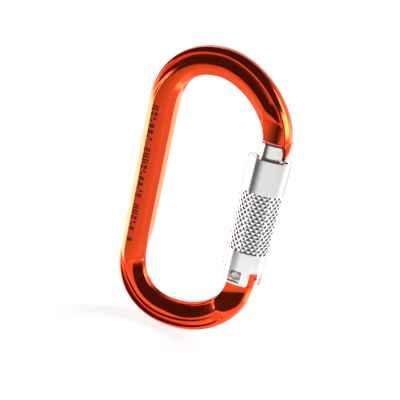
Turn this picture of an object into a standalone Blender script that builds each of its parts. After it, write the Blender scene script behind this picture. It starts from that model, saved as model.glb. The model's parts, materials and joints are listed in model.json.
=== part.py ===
"""Oval auto-locking carabiner, modelled as the pieces it is assembled from.

The carabiner stands on its lower bend. +Z runs up its long axis, the spine is on
the -X side, the gate and its locking sleeve are on the +X side, and the flat
sides face -Y and +Y. The origin is under the middle of the outline.
Sizes below are in millimetres; meshes are made in metres.
"""
import math

import bmesh
import bpy
from mathutils import Matrix, Vector

MM = 0.001

# --- Frame outline -----------------------------------------------------------
HEIGHT = 111.0              # overall, along Z
SPINE_X = -29.78            # outer edge of the spine
GATE_SIDE_X = 27.58         # outer edge of the frame on the gate side
THICK = 5.39                # half of the frame's thickness along Y
# Each bend is two quarter curves: apex x, height of the quarter, and its power
# (2 is an ellipse, more is squarer).
TOP_APEX_X = -3.72
BOTTOM_APEX_X = -4.12
TOP_LEFT = (26.44, 2.26)
TOP_RIGHT = (28.69, 1.75)
BOTTOM_LEFT = (26.51, 2.12)
BOTTOM_RIGHT = (28.96, 2.07)
NOSE_END_Z = 83.3           # underside of the frame above the gate

# --- Frame cross-sections ----------------------------------------------------
# Half sections as (depth in from the outer edge, height above the middle plane),
# all with the same number of points, so that one can blend into the next.
SPINE_SECTION = (
    (0.0, 0.0), (0.25, 0.9), (0.75, 1.8), (1.1, 2.2), (1.7, 2.95), (2.3, 3.65),
    (3.0, 4.45), (3.8, THICK), (9.7, THICK), (10.1, 5.0), (10.27, 2.6), (10.39, 0.0))
ARCH_SECTION = (
    (0.0, 0.0), (0.4, 2.0), (1.9, 5.0), (2.3, THICK), (2.85, THICK), (3.4, 4.1),
    (5.3, 3.9), (6.2, THICK), (7.6, THICK), (8.2, 5.0), (9.8, 2.4), (10.72, 0.0))
PLAIN_SECTION = (
    (0.0, 0.0), (0.4, 2.0), (1.9, 4.8), (2.5, 5.3), (3.3, THICK), (4.1, THICK),
    (5.2, THICK), (6.2, THICK), (7.6, THICK), (8.2, 5.0), (9.8, 2.4), (10.72, 0.0))
NOSE_SECTION = (
    (0.0, 0.0), (0.3, 1.6), (0.9, 2.9), (1.5, 3.7), (2.0, 4.0), (2.6, 3.9),
    (3.6, 3.5), (4.8, 3.4), (6.4, 3.4), (8.8, 3.3), (10.2, 2.2), (10.72, 0.0))
HINGE_SECTION = (
    (0.0, 0.0), (0.3, 1.6), (0.9, 2.3), (1.4, 2.5), (2.3, 2.5), (3.4, 2.5),
    (4.8, 2.5), (6.4, 2.5), (8.4, 2.5), (9.6, 2.4), (10.4, 1.4), (10.72, 0.0))
# Where along the outer edge, from the hinge end, one section turns into the next.
SECTIONS = (
    (0.0, HINGE_SECTION), (3.0, HINGE_SECTION), (13.5, PLAIN_SECTION), (17.0, PLAIN_SECTION),
    (24.0, ARCH_SECTION), (68.0, ARCH_SECTION), (92.0, SPINE_SECTION),
    (146.0, SPINE_SECTION), (172.0, ARCH_SECTION), (221.0, ARCH_SECTION),
    (227.0, NOSE_SECTION), (240.0, NOSE_SECTION))

# --- Gate axis, pivot and hinge tongue ---------------------------------------
GATE_X = 21.46              # the gate, its sleeve and springs share this axis
PIVOT_X, PIVOT_Z = 20.6, 32.0
TONGUE_HALF = 2.7           # half thickness of the frame's tongue, along Y
TONGUE = (                  # outline of the tongue, from the pivot, in X and Z
    (-3.7, -8.0), (6.4, -8.0), (6.98, -3.0), (6.98, 1.5), (4.9, 4.0), (-1.2, 4.0), (-2.3, 4.5),
    (-3.2, 3.7), (-3.75, 2.0))
NOSE_HALF = 2.8
NOSE = (                    # the nose strip that drops into the gate's slot
    (25.3, 78.0), (26.7, 78.0), (27.5, 82.3), (26.6, 86.5), (25.3, 86.5))
PIN_HOLE_R = 1.8

# --- Gate --------------------------------------------------------------------
GATE_R = 5.35
GATE_TOP_Z = 82.5
EAR_R = 3.4                 # rounded lower ends of the fork, about the pivot
EAR_FLAT = 4.6              # flats on the ears, for the rivet heads
FORK_HALF = 3.05
FORK_ROOT_Z = PIVOT_Z + 5.6
BORE_R = 2.1                # blind bore for the gate spring
BORE_END_Z = 59.0
NOSE_SLOT_X = 24.6
NOSE_SLOT_HALF = 3.1
NOSE_SLOT_Z = 77.4

# --- Small parts in and on the gate ------------------------------------------
RIVET_R = 1.5
RIVET_HEAD_R = 2.0
RIVET_HEAD = (4.9, 6.2)     # from the ear's flat to the top of the head
PLUNGER_R = 1.8
PLUNGER_Z = (PIVOT_Z + 4.35, 44.4)
GATE_SPRING = (1.4, 0.35, 45.05, 58.35, 9)      # mean radius, wire radius, z from, z to, turns
RING_R = (4.95, 6.75)
RING_Z = (60.6, 61.4)
RING_GROOVE_R = 4.65
GUIDE_PIN_R = 1.0
GUIDE_PIN_Z = 68.0
GUIDE_PIN_REACH = (2.6, 6.5)
GUIDE_PIN_ANGLE = 180.0     # degrees about the gate axis, from +X

# --- Locking sleeve and what turns inside it ---------------------------------
SLEEVE_R = 8.32
SLEEVE_BORE_R = 7.1
SLEEVE_Z = (29.4, 77.1)
LIP_R = 5.65                # the rim closes in round the gate's head
LIP_Z = 75.6
LIFT = 3.0                  # travel of the sleeve before it can turn
TURN = 90.0                 # degrees that the sleeve turns
INSERT_R = (5.65, 6.8)      # rings that fit between the gate and the sleeve
SEAT_Z = (41.0, 42.2)
WASHER_Z = (42.5, 43.3)
SLEEVE_SPRING = (6.2, 0.45, 44.1, 59.85, 5)
CAM_BUSH_Z = (62.2, 72.0)
WINDOW_X = (18.15, 23.05)   # square window over the rivet
WINDOW_Z = (30.5, 34.6)
NOTCH_ANGLES = (-57.0, -10.0)   # degrees about the gate axis, from +X
NOTCH_TOP_Z = 35.0

# --- Colours -----------------------------------------------------------------
ORANGE = (0.78, 0.06, 0.015, 1.0)
SILVER = (0.80, 0.80, 0.79, 1.0)
STEEL = (0.55, 0.55, 0.53, 1.0)
SPRING_STEEL = (0.35, 0.35, 0.36, 1.0)
BRONZE = (0.50, 0.36, 0.20, 1.0)


def clear_scene():
    for obj in list(bpy.data.objects):
        bpy.data.objects.remove(obj)


def material(name, colour, roughness, metallic=1.0):
    mat = bpy.data.materials.new(name)
    mat.use_nodes = True
    shader = mat.node_tree.nodes["Principled BSDF"]
    shader.inputs["Base Color"].default_value = colour
    shader.inputs["Roughness"].default_value = roughness
    shader.inputs["Metallic"].default_value = metallic
    mat.diffuse_color = colour
    return mat


def empty(name, place, parent=None):
    """An empty on a joint's axis, for the pieces that move with it."""
    obj = bpy.data.objects.new(name, None)
    bpy.context.collection.objects.link(obj)
    obj.parent = parent
    base = parent.matrix_world.translation if parent else Vector((0, 0, 0))
    obj.location = Vector(place) * MM - base
    bpy.context.view_layer.update()
    return obj


def make_object(name, points, faces, mat=None, parent=None):
    """A mesh object from points in millimetres; its origin is its parent's place."""
    origin = parent.matrix_world.translation if parent else Vector((0, 0, 0))
    mesh = bpy.data.meshes.new(name)
    mesh.from_pydata([Vector(p) * MM - origin for p in points], [], faces)
    bm = bmesh.new()
    bm.from_mesh(mesh)
    bmesh.ops.remove_doubles(bm, verts=bm.verts, dist=1e-6)
    bmesh.ops.recalc_face_normals(bm, faces=bm.faces)
    bm.to_mesh(mesh)
    bm.free()
    mesh.shade_smooth()
    mesh.set_sharp_from_angle(angle=math.radians(35))
    obj = bpy.data.objects.new(name, mesh)
    bpy.context.collection.objects.link(obj)
    obj.parent = parent
    if mat:
        mesh.materials.append(mat)
    return obj


def boolean(obj, tool, operation="DIFFERENCE"):
    """Cut or join with another object, which is a guide and not a piece."""
    tool.hide_render = True
    tool.display_type = "WIRE"
    mod = obj.modifiers.new(tool.name, "BOOLEAN")
    mod.operation = operation
    mod.object = tool
    mod.solver = "EXACT"


def loft(rings, closed=False):
    """Faces over a row of equal rings, capped at both ends unless it is closed."""
    count = len(rings[0])
    points = [p for ring in rings for p in ring]
    faces = []
    spans = len(rings) if closed else len(rings) - 1
    for i in range(spans):
        a, b = i * count, (i + 1) % len(rings) * count
        faces += [(a + j, a + (j + 1) % count, b + (j + 1) % count, b + j) for j in range(count)]
    if not closed:
        faces.append(tuple(range(count)))
        faces.append(tuple(range((len(rings) - 1) * count, len(rings) * count)))
    return points, faces


def turned(profile, segments, x=GATE_X, start=0.0, sweep=360.0):
    """Turn a closed outline of (radius, z) about the vertical axis at x."""
    closed = sweep >= 360.0
    steps = segments if closed else segments + 1
    rings = []
    for i in range(steps):
        a = math.radians(start + sweep * i / segments)
        rings.append([(x + r * math.cos(a), r * math.sin(a), z) for r, z in profile])
    return loft(rings, closed)


def rod(radius, z_from, z_to, segments, chamfer=0.0, x=GATE_X):
    """A solid round bar with chamfered ends."""
    steps = ((radius - chamfer, z_from), (radius, z_from + chamfer),
             (radius, z_to - chamfer), (radius - chamfer, z_to))
    rings = []
    for r, z in steps:
        rings.append([(x + r * math.cos(a), r * math.sin(a), z)
                      for a in (2 * math.pi * i / segments for i in range(segments))])
    return loft(rings if chamfer else rings[1:3])


def box(x, y, z):
    return loft([[(x[0], y[0], h), (x[1], y[0], h), (x[1], y[1], h), (x[0], y[1], h)] for h in z])


def inset(outline, distance):
    """Move each corner of an anticlockwise outline inwards along its bisector."""
    result = []
    for i, p in enumerate(outline):
        before, here, after = Vector(outline[i - 1]), Vector(p), Vector(outline[(i + 1) % len(outline)])
        d1, d2 = (here - before).normalized(), (after - here).normalized()
        n1, n2 = Vector((-d1.y, d1.x)), Vector((-d2.y, d2.x))
        bisector = (n1 + n2).normalized()
        result.append(tuple(here + bisector * distance / max(bisector.dot(n1), 0.4)))
    return result


def plate(outline, half, edge=0.0):
    """An outline in X and Z, made thick along Y, with its edges taken off."""
    small = inset(outline, edge) if edge else outline
    steps = ((-half, small), (edge - half, outline), (half - edge, outline), (half, small))
    if not edge:
        steps = steps[1:3]
    return loft([[(x, y, z) for x, z in ring] for y, ring in steps])


def arc(cx, cz, radius, start, end, steps):
    angles = (math.radians(start + (end - start) * i / steps) for i in range(steps + 1))
    return [(cx + radius * math.cos(a), cz + radius * math.sin(a)) for a in angles]


def coil(mean_r, wire_r, z_from, z_to, turns, steps, sides):
    """A coil spring with closed end turns, as a tube along its centre line."""
    count = turns * steps
    rings = []
    for i in range(count + 1):
        f = i / count
        rise = min(max((f * turns - 0.5) / (turns - 1.0), 0.0), 1.0)
        a = 2 * math.pi * turns * f
        z = z_from + (z_to - z_from) * rise
        out = Vector((math.cos(a), math.sin(a), 0))
        centre = Vector((GATE_X, 0, z)) + out * mean_r
        rings.append([tuple(centre + (out * math.cos(t) + Vector((0, 0, 1)) * math.sin(t)) * wire_r)
                      for t in (2 * math.pi * k / sides for k in range(sides))])
    return loft(rings)


def quarter(apex_x, side_x, base_z, height, power, steps):
    """Points and outward directions from the side of the outline to the apex."""
    width = side_x - apex_x
    result = []
    for i in range(steps + 1):
        t = 0.5 * math.pi * i / steps
        c, s = max(math.cos(t), 0.0), math.sin(t)
        px, pz = c ** (2 / power), s ** (2 / power)
        normal = Vector((px ** (power - 1) / width, 0, pz ** (power - 1) / height))
        if i == 0:
            normal = Vector((math.copysign(1, width), 0, 0))
        if i == steps:
            normal = Vector((0, 0, math.copysign(1, height)))
        result.append((Vector((apex_x + width * px, 0, base_z + height * pz)), normal.normalized()))
    return result


def frame_path():
    """The outer edge of the frame, from the hinge end round the spine to the nose."""
    bend = quarter(BOTTOM_APEX_X, GATE_SIDE_X, BOTTOM_RIGHT[0], -BOTTOM_RIGHT[0], BOTTOM_RIGHT[1], 16)
    path = list(bend)
    bend = quarter(BOTTOM_APEX_X, SPINE_X, BOTTOM_LEFT[0], -BOTTOM_LEFT[0], BOTTOM_LEFT[1], 13)
    path += bend[::-1][1:]
    low, high = BOTTOM_LEFT[0], HEIGHT - TOP_LEFT[0]
    path += [(Vector((SPINE_X, 0, low + (high - low) * f)), Vector((-1, 0, 0))) for f in (0.1, 0.5, 0.9)]
    path += quarter(TOP_APEX_X, SPINE_X, high, TOP_LEFT[0], TOP_LEFT[1], 13)
    bend = quarter(TOP_APEX_X, GATE_SIDE_X, HEIGHT - TOP_RIGHT[0], TOP_RIGHT[0], TOP_RIGHT[1], 18)
    path += bend[::-1][1:-1]
    path.append((Vector((GATE_SIDE_X - 0.06, 0, NOSE_END_Z)), Vector((1, 0, 0))))
    return path


def section_at(distance):
    """The half section at a distance along the outer edge from the hinge end."""
    for (a, first), (b, second) in zip(SECTIONS, SECTIONS[1:]):
        if distance <= b:
            f = (distance - a) / (b - a)
            f = f * f * (3 - 2 * f)
            return [(p[0] + (q[0] - p[0]) * f, p[1] + (q[1] - p[1]) * f) for p, q in zip(first, second)]
    return SECTIONS[-1][1]


def frame_body():
    rings = []
    distance = 0.0
    last = None
    for point, normal in frame_path():
        distance += (point - last).length if last else 0.0
        last = point
        half = section_at(distance)
        ring = [point - normal * u + Vector((0, -h, 0)) for u, h in half]
        ring += [point - normal * u + Vector((0, h, 0)) for u, h in half[-2:0:-1]]
        rings.append([tuple(p) for p in ring])
    return loft(rings)


def build_frame(mat):
    frame = make_object("frame", *frame_body(), mat)
    outline = [(PIVOT_X + x, PIVOT_Z + z) for x, z in TONGUE]
    boolean(frame, make_object("tongue_shape", *plate(outline, TONGUE_HALF, 0.7)), "UNION")
    boolean(frame, make_object("nose_shape", *plate(NOSE, NOSE_HALF, 0.5)), "UNION")
    hole = make_object("frame_pin_hole", *rod(PIN_HOLE_R, -8.0, 8.0, 20, x=0.0))
    hole.rotation_euler = (math.radians(90), 0, 0)
    hole.location = Vector((PIVOT_X, 0, PIVOT_Z)) * MM
    boolean(frame, hole)
    return frame


def build_rivet(mat):
    """A plain rivet along Y, domed at both ends."""
    head, top = RIVET_HEAD
    dome = (top - head) / 2
    steps = ((RIVET_HEAD_R * 0.66, -top), (RIVET_HEAD_R, dome - top), (RIVET_HEAD_R, -head), (RIVET_R, -head))
    steps += tuple((r, -y) for r, y in reversed(steps))
    rings = []
    for r, y in steps:
        rings.append([(PIVOT_X + r * math.cos(a), y, PIVOT_Z + r * math.sin(a))
                      for a in (2 * math.pi * i / 20 for i in range(20))])
    return make_object("hinge_rivet", *loft(rings), mat)


def gate_outline():
    """Side view of the gate: the rod above, the two rounded ears below."""
    left, right = PIVOT_X - EAR_R, PIVOT_X + EAR_R
    shoulder = FORK_ROOT_Z - 0.4
    low = arc(PIVOT_X, PIVOT_Z, EAR_R, 180.0, 360.0, 12)
    return ([(GATE_X - 9, GATE_TOP_Z + 5), (GATE_X - 9, shoulder), (left, shoulder)] + low
            + [(right, shoulder), (GATE_X + 9, shoulder), (GATE_X + 9, GATE_TOP_Z + 5)])


def build_gate(mat, hinge):
    groove = (RING_Z[0] - 0.3, RING_Z[1] + 0.3)
    steps = ((GATE_R, PIVOT_Z - EAR_R - 1.0), (GATE_R, groove[0]), (RING_GROOVE_R, groove[0]),
             (RING_GROOVE_R, groove[1]), (GATE_R, groove[1]), (GATE_R, GATE_TOP_Z - 0.6),
             (GATE_R - 0.6, GATE_TOP_Z))
    rings = []
    for r, z in steps:
        rings.append([(GATE_X + r * math.cos(a), r * math.sin(a), z)
                      for a in (2 * math.pi * i / 40 for i in range(40))])
    gate = make_object("gate", *loft(rings), mat, hinge)
    boolean(gate, make_object("gate_side_view", *plate(gate_outline(), 7.0)), "INTERSECT")
    fork = box((GATE_X - 8, GATE_X + 8), (-FORK_HALF, FORK_HALF), (PIVOT_Z - 8, FORK_ROOT_Z))
    boolean(gate, make_object("fork_slot", *fork))
    for side, name in ((-1, "ear_flat_front"), (1, "ear_flat_back")):
        y = sorted((side * EAR_FLAT, side * 8.0))
        flat = box((GATE_X - 8, GATE_X + 8), y, (PIVOT_Z - 8, FORK_ROOT_Z - 1.0))
        boolean(gate, make_object(name, *flat))
    hole = make_object("gate_pin_hole", *rod(PIN_HOLE_R, -8.0, 8.0, 20, x=0.0))
    hole.rotation_euler = (math.radians(90), 0, 0)
    hole.location = Vector((PIVOT_X, 0, PIVOT_Z)) * MM
    boolean(gate, hole)
    boolean(gate, make_object("spring_bore", *rod(BORE_R, FORK_ROOT_Z - 2, BORE_END_Z, 20)))
    slot = box((NOSE_SLOT_X, GATE_X + 9), (-NOSE_SLOT_HALF, NOSE_SLOT_HALF), (NOSE_SLOT_Z, GATE_TOP_Z + 3))
    boolean(gate, make_object("nose_slot", *slot))
    boolean(gate, radial_bar("guide_pin_hole", GUIDE_PIN_R + 0.3, (GUIDE_PIN_REACH[0] - 0.3, 9.0)))
    return gate


def radial_bar(name, radius, reach, mat=None, parent=None):
    """A round bar that points out from the gate axis at the guide pin's place."""
    points, faces = rod(radius, reach[0], reach[1], 14, x=0.0)
    turn = Matrix.Rotation(math.radians(GUIDE_PIN_ANGLE), 3, "Z") @ Matrix.Rotation(math.radians(90), 3, "Y")
    centre = Vector((GATE_X, 0, GUIDE_PIN_Z))
    return make_object(name, [tuple(centre + turn @ Vector(p)) for p in points], faces, mat, parent)


def ring_outline(radii, heights):
    return [(radii[0], heights[0]), (radii[1], heights[0]), (radii[1], heights[1]), (radii[0], heights[1])]


def build_gate_parts(steel, spring_steel, hinge, plunger_axis):
    radial_bar("guide_pin", GUIDE_PIN_R, GUIDE_PIN_REACH, steel, hinge)
    ring = turned(ring_outline(RING_R, RING_Z), 26, start=25.0, sweep=310.0)
    make_object("retaining_ring", *ring, spring_steel, hinge)
    make_object("gate_spring", *coil(*GATE_SPRING, 11, 6), spring_steel, hinge)
    make_object("sleeve_spring", *coil(*SLEEVE_SPRING, 18, 6), spring_steel, hinge)
    make_object("spring_plunger", *rod(PLUNGER_R, *PLUNGER_Z, 18, 0.3), steel, plunger_axis)


def build_sleeve(mat, turn_axis):
    low, high = SLEEVE_Z
    profile = [(SLEEVE_BORE_R, low), (SLEEVE_R - 0.3, low), (SLEEVE_R, low + 0.3), (SLEEVE_R, high - 0.5),
               (SLEEVE_R - 0.5, high), (LIP_R, high), (LIP_R, LIP_Z), (SLEEVE_BORE_R, LIP_Z)]
    sleeve = make_object("locking_sleeve", *turned(profile, 64), mat, turn_axis)
    window = box(WINDOW_X, (-12, 12), WINDOW_Z)
    boolean(sleeve, make_object("rivet_window", *window))
    a, b = NOTCH_ANGLES
    notch = turned(ring_outline((4.0, 12.0), (low - 2, NOTCH_TOP_Z)), 8, start=a, sweep=b - a)
    boolean(sleeve, make_object("lower_notch", *notch))
    clear = turned(ring_outline((4.0, SLEEVE_BORE_R - 0.04), (LIP_Z - 1, high + 2)), 20, start=-34.0,
                   sweep=TURN + 68.0)
    boolean(sleeve, make_object("nose_clearance", *clear))
    gap = box((GATE_X - 3.4, GATE_X + 3.4), (4.0, 12.0), (NOSE[0][1] - LIFT - 0.4, high + 2))
    boolean(sleeve, make_object("nose_gap", *gap))
    return sleeve


def build_inserts(bronze, steel, turn_axis, lift_axis):
    make_object("spring_seat", *turned(ring_outline(INSERT_R, SEAT_Z), 40), bronze, turn_axis)
    make_object("lift_washer", *turned(ring_outline(INSERT_R, WASHER_Z), 40), steel, lift_axis)
    bush = make_object("cam_bush", *turned(ring_outline(INSERT_R, CAM_BUSH_Z), 40), bronze, turn_axis)
    margin = 14.0
    track = ring_outline((4.0, 9.0), (GUIDE_PIN_Z - LIFT - GUIDE_PIN_R - 0.4, GUIDE_PIN_Z + GUIDE_PIN_R + 0.4))
    cut = turned(track, 16, start=GUIDE_PIN_ANGLE - margin, sweep=TURN + 2 * margin)
    boolean(bush, make_object("cam_track", *cut))


def main():
    clear_scene()
    orange = material("anodised_orange", ORANGE, 0.18)
    silver = material("satin_aluminium", SILVER, 0.32)
    steel = material("steel", STEEL, 0.3)
    spring_steel = material("spring_steel", SPRING_STEEL, 0.35)
    bronze = material("bronze", BRONZE, 0.4)
    hinge = empty("gate_swing_axis", (PIVOT_X, 0, PIVOT_Z))
    plunger_axis = empty("plunger_axis", (GATE_X, 0, PLUNGER_Z[0]), hinge)
    lift_axis = empty("sleeve_lift_axis", (GATE_X, 0, SLEEVE_Z[0]), hinge)
    turn_axis = empty("sleeve_turn_axis", (GATE_X, 0, SLEEVE_Z[0]), lift_axis)
    build_frame(orange)
    build_rivet(steel)
    build_gate(silver, hinge)
    build_gate_parts(steel, spring_steel, hinge, plunger_axis)
    build_sleeve(silver, turn_axis)
    build_inserts(bronze, steel, turn_axis, lift_axis)


main()
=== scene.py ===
"""Looks of the oval auto-locking carabiner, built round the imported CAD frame.

Sizes are in millimetres and become metres when a mesh is made. +Z runs up the
carabiner, the spine is on the -X side, the gate on the +X side, and the flat
sides face -Y (front) and +Y (back).
"""

import json
import math

import bmesh
import bpy
import numpy as np
from mathutils import Matrix, Vector


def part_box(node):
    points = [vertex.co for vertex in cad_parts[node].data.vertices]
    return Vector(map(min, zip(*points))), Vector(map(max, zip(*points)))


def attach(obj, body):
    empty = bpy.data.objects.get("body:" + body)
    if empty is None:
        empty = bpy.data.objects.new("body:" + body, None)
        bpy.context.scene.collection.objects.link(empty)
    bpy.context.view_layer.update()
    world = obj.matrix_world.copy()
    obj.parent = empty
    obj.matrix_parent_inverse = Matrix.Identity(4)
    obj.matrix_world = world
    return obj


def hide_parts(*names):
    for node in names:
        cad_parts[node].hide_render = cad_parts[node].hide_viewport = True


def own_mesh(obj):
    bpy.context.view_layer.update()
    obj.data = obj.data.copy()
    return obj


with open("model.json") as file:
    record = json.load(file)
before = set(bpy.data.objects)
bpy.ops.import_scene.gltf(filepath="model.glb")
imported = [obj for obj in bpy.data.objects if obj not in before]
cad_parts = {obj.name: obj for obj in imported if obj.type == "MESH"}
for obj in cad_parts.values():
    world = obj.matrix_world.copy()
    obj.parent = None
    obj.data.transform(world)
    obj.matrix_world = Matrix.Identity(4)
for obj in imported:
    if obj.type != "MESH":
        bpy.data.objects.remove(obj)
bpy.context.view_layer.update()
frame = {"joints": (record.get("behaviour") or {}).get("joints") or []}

MM = 0.001


def node_box(node):
    """A CAD node's lowest and highest corners in millimetres."""
    low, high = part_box(node)
    return low / MM, high / MM


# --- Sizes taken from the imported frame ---
JOINTS = {joint["name"]: joint for joint in frame["joints"]}
FRAME_LOW, FRAME_HIGH = node_box("frame")
SLEEVE_LOW, SLEEVE_HIGH = node_box("locking_sleeve")
GATE_LOW, GATE_HIGH = node_box("gate")
SPINE_X, GATE_SIDE_X = FRAME_LOW.x, FRAME_HIGH.x
HEIGHT = FRAME_HIGH.z
THICK = FRAME_HIGH.y
GATE_X = (SLEEVE_LOW.x + SLEEVE_HIGH.x) / 2
SLEEVE_R = (SLEEVE_HIGH.x - SLEEVE_LOW.x) / 2
SLEEVE_Z = (SLEEVE_LOW.z, SLEEVE_HIGH.z)
PIVOT = Vector(JOINTS["gate_swing"]["pos_m"]) / MM

# --- Frame outline: apex x of each bend, then each quarter's height and power ---
TOP_APEX_X = -3.72
BOTTOM_APEX_X = -4.12
TOP_LEFT = (26.44, 2.26)
TOP_RIGHT = (28.69, 1.75)
BOTTOM_LEFT = (26.51, 2.12)
BOTTOM_RIGHT = (28.96, 2.07)
NOSE_END_Z = 83.0
TONGUE_TOP_Z = 36.0
TONGUE_CORNER = 2.4
TONGUE_STEPS = 16
WIDTH = 10.72               # of the section, from its outer edge to its inner edge

# --- Frame cross-sections ---
# Corners of the outer half as (depth in, height above the middle plane, how far
# the rounding reaches along each side of the corner).
ARCH_OUTER = (
    (0.0, 0.0, 0.0), (0.75, 3.3, 0.6), (2.3, THICK, 0.28), (2.75, THICK, 0.12),
    (2.95, 4.2, 0.2), (4.65, 4.38, 0.5), (6.2, THICK, 0.3))
SPINE_OUTER = (
    (0.0, 0.0, 0.0), (0.5, 1.8, 0.25), (1.1, 2.45, 0.2), (1.6, 3.0, 0.2),
    (2.0, 3.43, 0.2), (2.5, 3.98, 0.2), (3.8, THICK, 0.25))
PLAIN_OUTER = (
    (0.0, 0.0, 0.0), (0.6, 3.3, 0.5), (1.6, THICK, 0.4), (2.9, THICK, 0.15),
    (3.6, THICK, 0.3), (4.5, THICK, 0.3), (6.2, THICK, 0.3))
HINGE_OUTER = (
    (0.0, 0.0, 0.0), (0.35, 3.0, 0.4), (1.2, THICK, 0.4), (1.6, THICK, 0.15),
    (2.0, THICK, 0.2), (2.4, THICK, 0.2), (2.9, THICK, 0.2))
NOSE_OUTER = (
    (0.0, 0.0, 0.0), (0.6, 3.3, 0.5), (1.6, THICK, 0.4), (2.3, THICK, 0.15),
    (2.6, THICK, 0.1), (3.0, THICK, 0.15), (3.4, THICK, 0.2))
# Corners of the inner half.
ARCH_INNER = ((7.9, THICK, 0.4), (10.3, 1.95, 0.35), (10.72, 1.5, 0.25), (10.72, 0.0, 0.0))
LOW_INNER = ((6.8, THICK, 0.4), (10.3, 2.5, 0.35), (10.72, 1.6, 0.25), (10.72, 0.0, 0.0))
HINGE_INNER = ((10.25, THICK, 0.3), (10.5, 3.0, 0.3), (10.65, 0.5, 0.2), (10.72, 0.0, 0.0))
SPINE_INNER = ((10.1, THICK, 0.22), (10.28, 2.8, 0.8), (10.44, 0.4, 0.3), (10.5, 0.0, 0.0))
END_INNER = ((9.6, THICK, 0.4), (10.2, 3.0, 0.6), (10.6, 0.5, 0.3), (10.72, 0.0, 0.0))
# Distance along the outer edge from the hinge end at which each one holds.
OUTER_KEYS = (
    (0.0, HINGE_OUTER), (5.0, HINGE_OUTER), (15.0, PLAIN_OUTER), (16.5, PLAIN_OUTER),
    (24.0, ARCH_OUTER), (68.0, ARCH_OUTER), (92.0, SPINE_OUTER), (146.0, SPINE_OUTER),
    (172.0, ARCH_OUTER), (217.5, ARCH_OUTER), (226.5, NOSE_OUTER), (250.0, NOSE_OUTER))
INNER_KEYS = (
    (0.0, HINGE_INNER), (16.5, HINGE_INNER), (19.5, LOW_INNER), (36.0, LOW_INNER), (50.0, ARCH_INNER),
    (83.7, ARCH_INNER), (84.8, SPINE_INNER), (148.0, SPINE_INNER), (206.0, ARCH_INNER),
    (218.0, ARCH_INNER), (232.0, END_INNER), (250.0, END_INNER))
# The back half's inner edge blends more slowly into the spine's.
BACK_INNER_KEYS = INNER_KEYS[:6] + ((100.0, SPINE_INNER),) + INNER_KEYS[7:]
ROUND_STEPS = 5             # points on each rounded corner
ROUND_SHARE = 0.48          # the most of a side that one rounding may take
END_STEPS = 3               # steps from the last rounding to the inner edge
# Extra points along each side of the section, from the outer edge inwards.
SIDE_STEPS = (0, 3, 2, 2, 2, 3, 14, 4, 3, 0)
STATION = 0.55              # spacing of the sections along the frame
CROWN = 0.07                # how much lower the flat face is at its edges than at its middle
NOSE_SETTLE = 7.0           # over this last length the sections turn to face straight out

# --- Pockets milled into both sides of the frame's ends ---
POCKET_FLOOR = 2.7
POCKET_CREASE_Z, POCKET_TILT = 23.1, 0.33
POCKET_SLOPE = 0.302
POCKET_CENTRE = (16.0, 25.0)
POCKET_R = 9.4
POCKET_LEFT_X = 13.2
NOSE_FLOOR = 4.0
NOSE_CURVE_X = 16.8
NOSE_CURVE = 0.028
NOSE_CENTRE = (21.0, 85.4)
NOSE_R = 5.05
WALL_SLOPE = 6.0
WALL_START = 0.3            # a pocket's wall starts this far inside its rim
CREASE_ROUND = 0.2
EDGE_ROUND = 0.45
HINGE_ZONE_Z, NOSE_ZONE_Z = 45.0, 70.0
NO_LIMIT, LIMIT_MAX = 99.0, 90.0    # nothing lowers the metal, and the highest height that counts
SLEEVE_CLEAR_R = 6.85       # the frame's hinge end keeps inside this, within the sleeve
SLEEVE_CLEAR_BELOW = 1.2    # and starts to this far below the sleeve's lower rim
# The step from full thickness down to the tongue: how far below the edge it starts, its run and its rise.
STEP_BELOW, STEP_RUN, STEP_RISE = 0.6, 0.5, 6.0
# The lip that runs down from the nose into the gate's slot: (z, outer x, half depth).
NOSE_LIP = ((77.95, 26.75, 2.3), (78.4, 27.05, 2.8), (80.2, 27.3, 3.3), (81.0, 27.4, 3.8),
            (82.2, 27.5, 4.6), (83.1, 27.56, 5.1), (84.2, 27.56, 5.1))
LIP_INNER_X, LIP_SLOT_HALF, LIP_FRONT_X = 25.3, 2.8, 26.12
PIN_HOLE_R = 1.8

# --- Engraved marks on the spine ---
MARKS_X = (-26.2, -23.2)
MARKS_Z = (28.5, 85.0)
MARK_DEPTH = 0.2
MARK_STEP, MARK_LENGTH = 2.3, 1.95
# Each mark as bars: across from and to, then down from and to, as fractions of the mark.
MARK_PATTERNS = (
    ((0.0, 1.0, 0.0, 0.32), (0.0, 1.0, 0.55, 0.87)),
    ((0.0, 0.26, 0.1, 0.8), (0.37, 0.63, 0.1, 0.8), (0.74, 1.0, 0.1, 0.8)),
    ((0.0, 0.45, 0.0, 0.38), (0.55, 1.0, 0.5, 0.88)),
    ((0.12, 0.88, 0.1, 0.8),),
    ((0.55, 1.0, 0.0, 0.38), (0.0, 0.45, 0.5, 0.88)),
    ((0.0, 0.4, 0.1, 0.8), (0.6, 1.0, 0.1, 0.8)))
MARK_GROUPS = (6, 9, 5, 8)  # marks between one gap and the next

# --- Locking sleeve ---
BORE_R = 7.1
LIP_R, LIP_Z = 5.65, 75.6
KNURL_COUNT = 24            # grooves round the sleeve in each direction
KNURL_PITCH_Z = 2.42
KNURL_STEPS = 8             # grid steps in one pitch
KNURL_ROWS = 74
KNURL_FROM_Z = 42.2
KNURL_DEPTH = 0.34
KNURL_WIDTH = 0.375         # half width of a groove, in pitches
WINDOW_X, WINDOW_Z = (18.45, 23.1), (30.4, 34.8)
NOTCH_ANGLES, NOTCH_TOP_Z = (-57.0, -10.0), 35.0
NOTCH_FLARE, NOTCH_INNER = 1.3, 0.5     # radii of its lower and its upper corners
NOTCH_WALL = (6.3, 10.0)    # radii that its cutter spans
NOSE_CLEAR_ANGLES = (-38.0, 124.0)
NOSE_GAP_HALF, NOSE_GAP_Z = 3.4, 74.6
SLEEVE_EDGE = 0.14          # width of the bevel on its cut edges

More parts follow.
